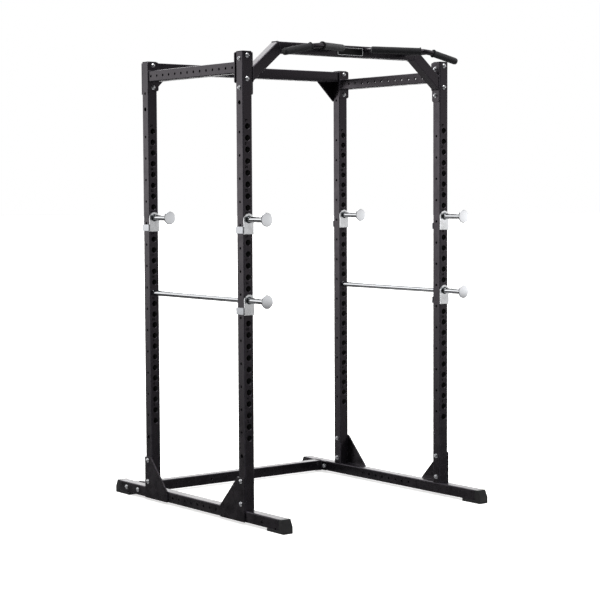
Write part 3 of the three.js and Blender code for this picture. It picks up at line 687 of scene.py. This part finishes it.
for label, side, sx in sides:
    makeBaseRail(label, side, sx)
for label, corner, sx, sy in corners:
    makeFoot(label, corner, sy)


flange = {"thick": 6, "round": 8, "sideHoles": 14, "sideStep": 50, "rearPlateReach": 97, "ventAside": -150,
          "tubeStop": 5.5}      # a tube ends this far in from its end plate's outer face


def makeRearBase():
    low, high = partBox("rear_base_crossmember")
    y, z = (low.y + high.y) / 2, (low.z + high.z) / 2
    stop = flange["tubeStop"]
    bm = drilledTube("x", y, z, low.x + stop, high.x - stop,
                     [(ventBit, (flange["ventAside"], y, z), (1, 0, 0), 1)])
    for sx, face in ((-1, low.x), (1, high.x)):
        inner = face - sx * flange["thick"]
        outline = roundedRing(y, z, high.y - low.y, 48, flange["round"])
        plateShape(bm, "x", outline, min(face, inner), max(face, inner))
        weldPaths.append((tubeRing("x", y, z, inner), True))
    makePiece(toObject("rearBaseCrossmember", bm), "powder", "frame",
              ["rear_base_crossmember"])


def makeSideRail(label, side):
    low, high = partBox("side_rail_" + side)
    x, z = (low.x + high.x) / 2, (low.z + high.z) / 2
    start = -(flange["sideHoles"] - 1) / 2 * flange["sideStep"]
    stop = flange["tubeStop"]
    whole = drilledTube("y", x, z, low.y + stop, high.y - stop,
                        [(screwBitX, (x, start, z), (0, flange["sideStep"], 0), flange["sideHoles"])])
    for sy, face in ((-1, low.y), (1, high.y)):
        inner = face - sy * flange["thick"]
        outline = roundedRing(x, z, high.x - low.x, high.z - low.z, flange["round"])
        plateShape(whole, "y", outline, min(face, inner), max(face, inner))
        weldPaths.append((tubeRing("y", x, z, inner), True))
    makePiece(toObject("sideRail" + label, whole), "powder", "frame", ["side_rail_" + side],
              bore=("y", x, z))


def makeRearTop():
    low, high = partBox("rear_top_crossmember")
    postLow, postHigh = partBox("upright_rear_right")
    inside = postLow.x
    y, z = (postLow.y + postHigh.y) / 2, high.z - tube["size"] / 2
    bm = bmesh.new()
    tubeShape(bm, "x", y, z, -inside + 0.3, inside - 0.3, tube)
    under = high.z - tube["size"]
    reach = inside - flange["rearPlateReach"]
    for sx in (-1, 1):
        shape = [(sx * high.x, high.z), (sx * high.x, low.z), (sx * inside, low.z),
                 (sx * reach, under), (sx * reach, high.z)]
        plateShape(bm, "y", shape, high.y - flange["thick"], high.y)
        weldPaths.append(([Vector((sx * reach, high.y - 4, under + 5)),
                           Vector((sx * reach, high.y - 4, high.z - 5))], False))
        weldPaths.append(([Vector((sx * (reach + 3), high.y - 6, under - 0.5)),
                           Vector((sx * (inside - 4), high.y - 6, under - 0.5))], False))
    makePiece(toObject("rearTopCrossmember", bm), "powder", "frame", ["rear_top_crossmember"])


makeRearBase()
makeRearTop()
for label, side, sx in sides:
    makeSideRail(label, side)
print("rails and crossmembers made")


archWork = {"flatHalf": 400, "slope": 40, "plateTall": 184, "plateWide": 48, "border": 2.4}


def makeArch():
    low, high = partBox("front_arch")
    y = (low.y + high.y) / 2
    z = high.z - tube["size"] / 2
    lean = math.radians(archWork["slope"])
    bend = archWork["flatHalf"] - tube["size"] / 2 * math.tan(lean / 2)
    end = high.x - flange["tubeStop"]
    drop = (end - bend) * math.tan(lean)
    ring = roundedRing(0, 0, tube["size"], tube["size"], tube["corner"])
    # at a mitre the section leans by half the slope; at the ends it is cut upright
    stations = [(-end, z - drop, 0, 1 / math.cos(lean)), (-bend, z, -lean / 2, 1 / math.cos(lean / 2)),
                (bend, z, lean / 2, 1 / math.cos(lean / 2)), (end, z - drop, 0, 1 / math.cos(lean))]
    bm = bmesh.new()
    loft(bm, [[Vector((cx + v * grow * math.sin(tilt), y + u, cz + v * grow * math.cos(tilt)))
               for u, v in ring] for cx, cz, tilt, grow in stations])
    for sx in (-1, 1):
        face = sx * high.x
        inner = face - sx * flange["thick"]
        outline = roundedRing(y, low.z + archWork["plateTall"] / 2,
                              archWork["plateWide"], archWork["plateTall"], flange["round"])
        plateShape(bm, "x", outline, min(face, inner), max(face, inner))
        cx, cz, tilt, grow = stations[1] if sx < 0 else stations[2]
        weldPaths.append(([Vector((cx + v * grow * math.sin(tilt), y + u, cz + v * grow * math.cos(tilt)))
                           for u, v in roundedRing(0, 0, 50.4, 50.4, 4.7, 2)], True))
        weldPaths.append(([Vector((inner, y + u, z - drop + v / math.cos(lean)))
                           for u, v in roundedRing(0, 0, 51, 51, 5, 2)], True))
    makePiece(toObject("frontArch", bm), "powder", "frame", ["front_arch"])


def makeNamePlate():
    low, high = partBox("badge_plate")
    x, z = (low.x + high.x) / 2, (low.z + high.z) / 2
    wide, tall = high.x - low.x, high.z - low.z
    bm = bmesh.new()
    plateShape(bm, "y", roundedRing(x, z, wide, tall, 3), low.y + 0.6, high.y, 0.5)
    makePiece(toObject("namePlate", bm), "enamel", "frame", ["badge_plate"])
    outer = roundedRing(x, z, wide - 3, tall - 3, 3)
    inner = roundedRing(x, z, wide - 3 - 2 * archWork["border"], tall - 3 - 2 * archWork["border"], 2)
    bm = bmesh.new()
    loft(bm, [[Vector((a, at, b)) for a, b in ring] for ring, at in (
        (outer, low.y + 1.2), (outer, low.y + 0.1), (inner, low.y + 0.1), (inner, low.y + 1.2))], joined=True)
    makePiece(toObject("namePlateBorder", bm), "silver", "frame")


makeArch()
makeNamePlate()


# points are out from the middle, forward of the arch, and up from the handle line
pull = {"radius": 12, "up": 7, "innerStart": (83, 50, 0), "innerEnd": (284, 159, -6),
        "outerStart": (347, 166, -12), "outerEnd": (490, 162, -42), "lead": 1.09, "strutRadius": 10,
        "stub": (99, 58, 0), "strut": (318, 166, -9), "bendSteps": 10}
sleeve = {"radius": 15.5, "ring": 18.5, "offset": 2, "nose": 5, "swell": 0.35}


def handleSpot(sx, spot):
    low, high = partBox("front_arch")
    out, forward, up = spot
    return Vector((sx * out, low.y - forward, high.z - tube["size"] / 2 + pull["up"] + up))


def makeHandle(label, side, sx):
    innerStart, innerEnd, outerStart, outerEnd = (handleSpot(sx, pull[k]) for k in (
        "innerStart", "innerEnd", "outerStart", "outerEnd"))
    corner = innerStart.lerp(innerEnd, pull["lead"])
    tip = innerStart.lerp(innerEnd, (sleeve["nose"] + 0.5) / (innerEnd - innerStart).length)
    path = [tip, innerStart.lerp(innerEnd, 0.5)]
    for i in range(pull["bendSteps"] + 1):
        t = i / pull["bendSteps"]
        path.append(innerEnd.lerp(corner, t).lerp(corner.lerp(outerStart, t), t))
    path += [outerStart.lerp(outerEnd, 0.5), outerEnd]
    bm = bmesh.new()
    sweptRound(bm, path, pull["radius"])
    for name in ("stub", "strut"):
        out, forward, up = pull[name]
        sweptRound(bm, [handleSpot(sx, (out, 0.3, up)), handleSpot(sx, (out, forward, up))],
                   pull["strutRadius"])
        foot = handleSpot(sx, (out, 0.6, up))
        weldPaths.append(([foot + Vector((math.cos(t), 0, math.sin(t))) * (pull["strutRadius"] + 0.5)
                           for t in (2 * math.pi * k / 16 for k in range(16))], True))
    makePiece(toObject("pullupHandle" + label, bm), "powder", "frame",
              ["pullup_handle_" + side])
    for kind, start, end, closed in (("Inner", innerEnd, innerStart, True),
                                     ("Outer", outerStart, outerEnd, False)):
        makeGrip(kind + label, kind.lower() + "_" + side, start, end, closed)
    way = (outerEnd - outerStart).normalized()
    bm = bmesh.new()
    turnedShape(bm, outerEnd, way, [(-14, 0), (-14, 9.2), (0.3, 9.7), (0.3, 13.6), (0.9, 14), (1.8, 13.8),
                                    (2.6, 12.6), (2.9, 8), (2.9, 0)], turns=28)
    makePiece(toObject("handlePlug" + label, bm), "plastic", "frame",
              ["handle_plug_" + side])


def makeGrip(label, node, start, end, closed):
    way = (end - start).normalized()
    first = start + way * sleeve["offset"]
    length = (end - first).length
    bore = pull["radius"] + 0.3
    r, ring = sleeve["radius"], sleeve["ring"]
    profile = [(0, bore), (0, ring - 1.2), (0.5, ring - 0.3), (1.4, ring), (2.8, ring), (3.8, ring - 0.5),
               (4.6, r + 0.9), (5.6, r)]
    for i in range(1, 12):      # foam swells a little between its ends
        t = i / 12
        swell = sleeve["swell"] * math.sin(math.pi * t) * math.sin(9 * t) ** 2
        profile.append((5.6 + (length - 12) * t, r + swell))
    profile += [(length - 5, r), (length - 2.2, r - 0.7), (length - 0.7, r - 2.2),
                (length, r - 4.2 if closed else bore)]
    if closed:
        profile += [(length, 0), (length - sleeve["nose"] + 0.3, 0), (length - sleeve["nose"] + 0.3, bore)]
    bm = bmesh.new()
    turnedShape(bm, first, way, profile, turns=32)
    piece = makePiece(toObject("grip" + label, bm), "foam", "frame", ["grip_" + node],
                      weighted=False)


for label, side, sx in sides:
    makeHandle(label, side, sx)
print("arch and handles made")


lock = {"plate": 4.5, "half": 26, "gap": 1, "foot": 64, "wrapTop": 31, "wrapBottom": 61, "bend": 6.5,
        "disc": 30, "discThick": 5, "collar": 17, "collarThick": 7, "pin": 12.5}


# The bracket's strap, seen from above: from the front plate round the outer side to the back.
def strapOutline(x, front, back, sx):
    t, r = lock["plate"], lock["bend"]
    outer = lock["half"] + t
    path = [(14, front - t)]
    for ox, oy, start in ((outer - r, front - t + r, -90), (outer - r, back + t - r, 0)):
        for i in range(7):
            angle = math.radians(start + 90 * i / 6)
            path.append((ox + r * math.cos(angle), oy + r * math.sin(angle)))
    path += [(-lock["half"], back + t), (-lock["half"], back)]
    s = r - t
    for ox, oy, start in ((outer - r, back + t - r, 90), (outer - r, front - t + r, 0)):
        for i in range(7):
            angle = math.radians(start - 90 * i / 6)
            path.append((ox + s * math.cos(angle), oy + s * math.sin(angle)))
    path.append((14, front))
    return [(x + sx * a, b) for a, b in path]


def makeLock(name, node, sx):
    pin = Vector(next(j for j in frame["record"]["behaviour"]["joints"] if j["child"] == node)["pos_m"]) / mm
    low, high = partBox(node)
    half = tube["size"] / 2
    front, back = pin.y - half - lock["gap"], pin.y + half + lock["gap"]
    t = lock["plate"]
    bm = bmesh.new()
    face = [(pin.x + lock["half"] * math.cos(a), pin.z + lock["half"] * math.sin(a))
            for a in (math.pi * i / 24 for i in range(25))]
    face += [(pin.x - lock["half"], pin.z - lock["foot"]), (pin.x + lock["half"], pin.z - lock["foot"])]
    plateShape(bm, "y", face, front - t, front, 0.8)
    makePiece(toObject(name + "Bracket", bm), "zinc", node)
    bm = bmesh.new()
    plateShape(bm, "z", strapOutline(pin.x, front + 0.02, back, sx), pin.z - lock["wrapBottom"],
               pin.z - lock["wrapTop"], 0.6)
    # the strap takes the darker copy of the zinc: painted shade
    makePiece(toObject(name + "Strap", bm), "shadedStrapZinc", node)
    disc = low.y
    bm = bmesh.new()
    r = lock["disc"]
    turnedShape(bm, (pin.x, disc, pin.z), (0, 1, 0), [
        (0, 0), (0, r - 2.2), (0.35, r - 1.1), (1.1, r - 0.3), (2.1, r), (3.3, r), (4.2, r - 0.5),
        (lock["discThick"], r - 1.6), (lock["discThick"], lock["pin"] + 2.2),
        (lock["discThick"] + 2.2, lock["pin"]),
        (high.y - disc - 1.5, lock["pin"]), (high.y - disc, lock["pin"] - 1.5), (high.y - disc, 0)], turns=48)
    makePiece(toObject(name + "Rod", bm), "chrome", node, [node], weighted=True)
    bm = bmesh.new()
    seat = front - t
    turnedShape(bm, (pin.x, seat, pin.z), (0, -1, 0), [
        (-1, lock["pin"]), (-1, lock["collar"]), (0.4, lock["collar"]), (1.6, lock["collar"] - 0.6),
        (3.6, lock["collar"] - 2.2), (5.4, lock["collar"] - 3.2), (lock["collarThick"], lock["pin"] + 0.4),
        (lock["collarThick"], lock["pin"])], turns=40)
    # the collar is drawn darker grey than the rest of the zinc
    makePiece(toObject(name + "Collar", bm), "collarZinc", node, weighted=False)


for label, corner, sx, sy in corners:
    makeLock("jcup" + label, "jcup_" + corner, sx)
for label, side, sx in sides:
    makeLock("safetyRod" + label, "safety_rod_" + side, sx)
print("cups and rods made")


bolt = {"washer": 10.8, "washerThick": 1.5, "headHeight": 6, "socket": 3.4, "nutCorner": 9.2,
        "nutHeight": 8, "shank": 5, "seat": 0.3}


# The washer that both the head and the nut sit on, as the start of their turned profiles.
def washerProfile():
    w, r = bolt["washerThick"], bolt["washer"]
    return [(0, 0), (0, r - 0.3), (0.3, r), (w - 0.3, r), (w, r - 0.3)]


def headMaster():
    w, h = bolt["washerThick"], bolt["headHeight"] + bolt["seat"]
    bm = bmesh.new()
    turnedShape(bm, (0, 0, 0), (0, 0, 1), washerProfile() + [
        (w, 9.6), (w + 0.4, 10.2), (w + 1.3, 10.0), (w + 2.4, 9.0), (w + 3.4, 7.4), (h - 0.5, 5.6), (h, 4.3),
        (h - 0.1, bolt["socket"], True), (h - 3, bolt["socket"], True), (h - 3.4, 0)], turns=24)
    return toObject("boltHead", bm)


def nutMaster():
    w, top = bolt["washerThick"], bolt["nutHeight"] + bolt["seat"]
    c = bolt["nutCorner"]
    bm = bmesh.new()
    turnedShape(bm, (0, 0, 0), (0, 0, 1), washerProfile() + [
        (w, c * 0.87), (w + 0.6, c, True), (top - 2.4, c, True), (top - 1.8, c * 0.87), (top - 0.4, 7),
        (top, 6.2), (top - 0.2, 5.3), (top + 1.6, bolt["shank"]), (top + 2.2, bolt["shank"] - 0.8),
        (top + 2.2, 0)], turns=24)
    return toObject("boltNut", bm)


masters = {"head": headMaster(), "nut": nutMaster()}
spareShapes += masters.values()
boltNodes = sorted(n for n in frame["nodes"] if n.startswith("bolt_"))


# Each bolt's box gives its axis; its broader end is the head.
def boltEnds(node):
    low, high = partBox(node)
    size = high - low
    axis = max(range(3), key=lambda i: size[i])
    middle = (low + high) / 2
    way = Vector((0, 0, 0))
    way[axis] = 1
    points = [v.co / mm for v in frame["nodes"][node].data.vertices]
    spread = {}
    for sign, end in ((-1, low[axis]), (1, high[axis])):
        near = [p for p in points if abs(p[axis] - end) < 8.5]
        spread[sign] = max((p - middle - way * (p - middle).dot(way)).length for p in near)
    sign = 1 if spread[1] > spread[-1] else -1
    headEnd = (high if sign > 0 else low)[axis] - sign * (bolt["headHeight"] + bolt["seat"])
    nutEnd = (low if sign > 0 else high)[axis] + sign * (bolt["nutHeight"] + bolt["seat"])
    headSpot, nutSpot = middle.copy(), middle.copy()
    headSpot[axis], nutSpot[axis] = headEnd, nutEnd
    return (headSpot, way * sign), (nutSpot, way * -sign)


def makeFasteners(name, nodes, seed):
    ends = [boltEnds(n) for n in nodes]
    parts = []
    for which, master in enumerate(("head", "nut")):
        mesh = bpy.data.meshes.new("boltSpots")
        mesh.from_pydata([e[which][0] * mm for e in ends], [], [])
        facing = mesh.attributes.new("facing", "FLOAT_VECTOR", "POINT")
        facing.data.foreach_set("vector", [c for e in ends for c in e[which][1]])
        holder = bpy.data.objects.new(name, mesh)
        bpy.context.scene.collection.objects.link(holder)
        applyTree(holder, placeFasteners, {"Fastener": masters[master], "Size": 1.0, "Seed": seed + which,
                                           "Finish": finishes["boltZinc"]})
        bakeModifiers(holder)
        parts.append(holder)
    bm = bmesh.new()
    for holder in parts:
        bm.from_mesh(holder.data)
        bpy.data.objects.remove(holder)
    bm.transform(Matrix.Scale(1 / mm, 4))
    makePiece(toObject(name, bm), "boltZinc", "frame", nodes)


for name, part, seed in (("topBolts", "bolt_top", 3), ("gussetBolts", "bolt_gusset", 11),
                         ("archBolts", "bolt_arch", 23), ("rearBaseBolts", "bolt_base", 37)):
    makeFasteners(name, [n for n in boltNodes if n.startswith(part)], seed)
print("bolts placed:", len(boltNodes))


weld = {"radius": 2.4, "ripple": 2.6, "depth": 0.22, "seed": 5}


def makeWelds():
    bm = bmesh.new()
    for path, ring in weldPaths:
        dots = [bm.verts.new(p) for p in path]
        for a, b in zip(dots, dots[1:] + (dots[:1] if ring else [])):
            bm.edges.new((a, b))
    bm.transform(Matrix.Scale(mm, 4))
    mesh = bpy.data.meshes.new("weldBeads")
    bm.to_mesh(mesh)
    bm.free()
    piece = bpy.data.objects.new("weldBeads", mesh)
    bpy.context.scene.collection.objects.link(piece)
    applyTree(piece, weldBead, {"Bead Radius": weld["radius"] * mm, "Ripple Length": weld["ripple"] * mm,
                                "Ripple Depth": weld["depth"], "Seed": weld["seed"],
                                "Finish": finishes["powder"]})
    bakeModifiers(piece)
    makePiece(piece, "powder", "frame", weighted=False, sharp=60)


makeWelds()
print("weld runs:", len(weldPaths))
for spare in spareShapes:
    bpy.data.objects.remove(spare)


studio = {"floorSize": 400, "floorPale": "#fafaf9", "floorShade": "#f6f6f5", "floorGlow": 0.7,
          "darkSide": (-0.607, -0.794, 0), "darkest": 0.3, "brightest": 1.15,
          "wallFade": (0.78, -0.05),      # cosines from the dark side: darkest before, brightest beyond
          "backGlow": 1.5, "backFade": (-0.55, -0.98),
          "below": 0.02, "lowEdge": -8, "highEdge": -2,
          "floorShine": 0.4, "shineFade": (-0.35, -0.75),
          "canopy": 6, "canopyFade": (-0.2, -0.6), "lostBehind": 0.65, "lostInFront": 0.9,
          "sun": 2.4, "sunSoft": 50, "sunLean": (-4, 20)}
# Soft boxes far off: degrees round from +X, degrees up, half width at the core and at the faded edge,
# strength.
softBoxes = {
    "right": (-28, 0, 8, 25, 0.45),
    "left": (148, -2, 8, 28, 0.7),
    "overBack": (77, 37, 8, 20, 2.0),
}


def makeFloor():
    half = studio["floorSize"] / 2
    mesh = bpy.data.meshes.new("studioFloor")
    spread = [(-half, -half, 0), (half, -half, 0), (half, half, 0), (-half, half, 0)]
    mesh.from_pydata(spread, [], [(0, 1, 2, 3)])
    floor = bpy.data.objects.new("studioFloor", mesh)
    bpy.context.scene.collection.objects.link(floor)
    finish, tree, shader, place = newFinish("paleStudioFloor")
    mottle = addNode(tree, "ShaderNodeTexNoise", None, {"Scale": 1.5, "Detail": 2.0}, {"Vector": place})
    colour = addNode(tree, "ShaderNodeMix", {"data_type": "RGBA"},
                     {6: linearColour(studio["floorPale"]), 7: linearColour(studio["floorShade"])},
                     {0: mottle.outputs["Fac"]})
    tree.links.new(colour.outputs[2], shader.inputs["Base Color"])
    shader.inputs["Roughness"].default_value = 0.9
    shader.inputs["Specular IOR Level"].default_value = 0.1
    shader.inputs["Emission Color"].default_value = linearColour(studio["floorPale"])
    shader.inputs["Emission Strength"].default_value = studio["floorGlow"]      # lit from below
    mesh.materials.append(finish)
    floor.visible_glossy = False      # it lies out of the black tubes' reflections
    floor.visible_diffuse = False


# Near lamps: name, place, aim, width, height, power.
lamps = [
    ("softKey", (-3.8, 5.0, 2.6), (0, 0, 1.0), 3.5, 3.2, 20),
    ("softFill", (4.5, -4.0, 5.5), (0, 0, 1.2), 2.5, 2.5, 25),
]


# How much a value between two ends counts, from nothing to all, with soft shoulders.
def softStep(tree, source, start, end, low=0.0, high=1.0):
    step = addNode(tree, "ShaderNodeMapRange", {"interpolation_type": "SMOOTHSTEP"},
                   {"From Min": start, "From Max": end, "To Min": low, "To Max": high}, {"Value": source})
    return step.outputs[0]


def addTwo(tree, first, second, operation="ADD"):
    return addNode(tree, "ShaderNodeMath", {"operation": operation}, None, {0: first, 1: second}).outputs[0]


def makeLights():
    world = bpy.data.worlds.new("studioSky")
    bpy.context.scene.world = world
    world.use_nodes = True
    tree = world.node_tree
    sky = tree.nodes["Background"]
    sky.inputs["Color"].default_value = (1, 1, 1, 1)
    way = addNode(tree, "ShaderNodeTexCoord").outputs["Generated"]
    split = addNode(tree, "ShaderNodeSeparateXYZ", None, None, {0: way})
    toward = addNode(tree, "ShaderNodeVectorMath", {"operation": "DOT_PRODUCT"},
                     {1: studio["darkSide"]}, {0: way})
    # an open studio: a dark wall on the camera's side, white walls round the rest, soft boxes before them
    walls = softStep(tree, toward.outputs["Value"], *studio["wallFade"], studio["darkest"],
                     studio["brightest"])
    boxes = None
    for turn, up, core, edge, strength in softBoxes.values():
        a, e = math.radians(turn), math.radians(up)
        centre = (math.cos(a) * math.cos(e), math.sin(a) * math.cos(e), math.sin(e))
        near = addNode(tree, "ShaderNodeVectorMath", {"operation": "DOT_PRODUCT"}, {1: centre}, {0: way})
        box = softStep(tree, near.outputs["Value"], math.cos(math.radians(edge)),
                       math.cos(math.radians(core)), 0.0, strength)
        boxes = addTwo(tree, boxes, box) if boxes else box
    # a canopy takes light off the walls above eye level, most of it in front
    lost = addNode(tree, "ShaderNodeMapRange", None,
                   {"From Min": studio["canopyFade"][0], "From Max": studio["canopyFade"][1],
                    "To Min": -studio["lostBehind"], "To Max": -studio["lostInFront"]},
                   {"Value": split.outputs["Y"]})
    shade = softStep(tree, split.outputs["Z"], 0.0, math.sin(math.radians(studio["canopy"])))
    kept = addNode(tree, "ShaderNodeMath", {"operation": "MULTIPLY_ADD"}, {2: 1.0},
                   {0: shade, 1: lost.outputs[0]})
    walls = addTwo(tree, addTwo(tree, walls, kept.outputs[0], "MULTIPLY"), boxes)
    # the wall straight across from the dark one is brighter: level tops catch it at a glance
    glow = softStep(tree, toward.outputs["Value"], *studio["backFade"], 0.0, studio["backGlow"])
    walls = addTwo(tree, walls, glow)
    # below the horizon the walls go dark, and further down the pale floor shines back
    rise = softStep(tree, split.outputs["Z"], math.sin(math.radians(studio["lowEdge"])),
                    math.sin(math.radians(studio["highEdge"])), studio["below"], 1.0)
    walls = addTwo(tree, walls, rise, "MULTIPLY")
    shine = softStep(tree, split.outputs["Z"], *studio["shineFade"], 0.0, studio["floorShine"])
    walls = addTwo(tree, walls, shine)
    tree.links.new(walls, sky.inputs["Strength"])
    seen = addNode(tree, "ShaderNodeBackground", None, {"Color": (1, 1, 1, 1), "Strength": 1.0})
    ray = addNode(tree, "ShaderNodeLightPath")
    mix = addNode(tree, "ShaderNodeMixShader", None, None,
                  {0: ray.outputs["Is Camera Ray"], 1: sky.outputs[0], 2: seen.outputs[0]})
    tree.links.new(mix.outputs[0], tree.nodes["World Output"].inputs["Surface"])
    for name, spot, aim, wide, tall, power in lamps:
        light = bpy.data.lights.new(name, "AREA")
        light.shape = "RECTANGLE"
        light.size, light.size_y = wide, tall
        light.energy = power
        holder = bpy.data.objects.new(name, light)
        bpy.context.scene.collection.objects.link(holder)
        holder.location = spot
        holder.rotation_euler = (Vector(aim) - Vector(spot)).to_track_quat("-Z", "Y").to_euler()
    sun = bpy.data.lights.new("skylight", "SUN")
    sun.energy = studio["sun"]
    sun.angle = math.radians(studio["sunSoft"])
    holder = bpy.data.objects.new("skylight", sun)
    bpy.context.scene.collection.objects.link(holder)
    across, along = studio["sunLean"]
    holder.rotation_euler = (math.radians(along), math.radians(across), 0)
    bpy.context.scene.view_settings.view_transform = "Standard"


makeFloor()
makeLights()
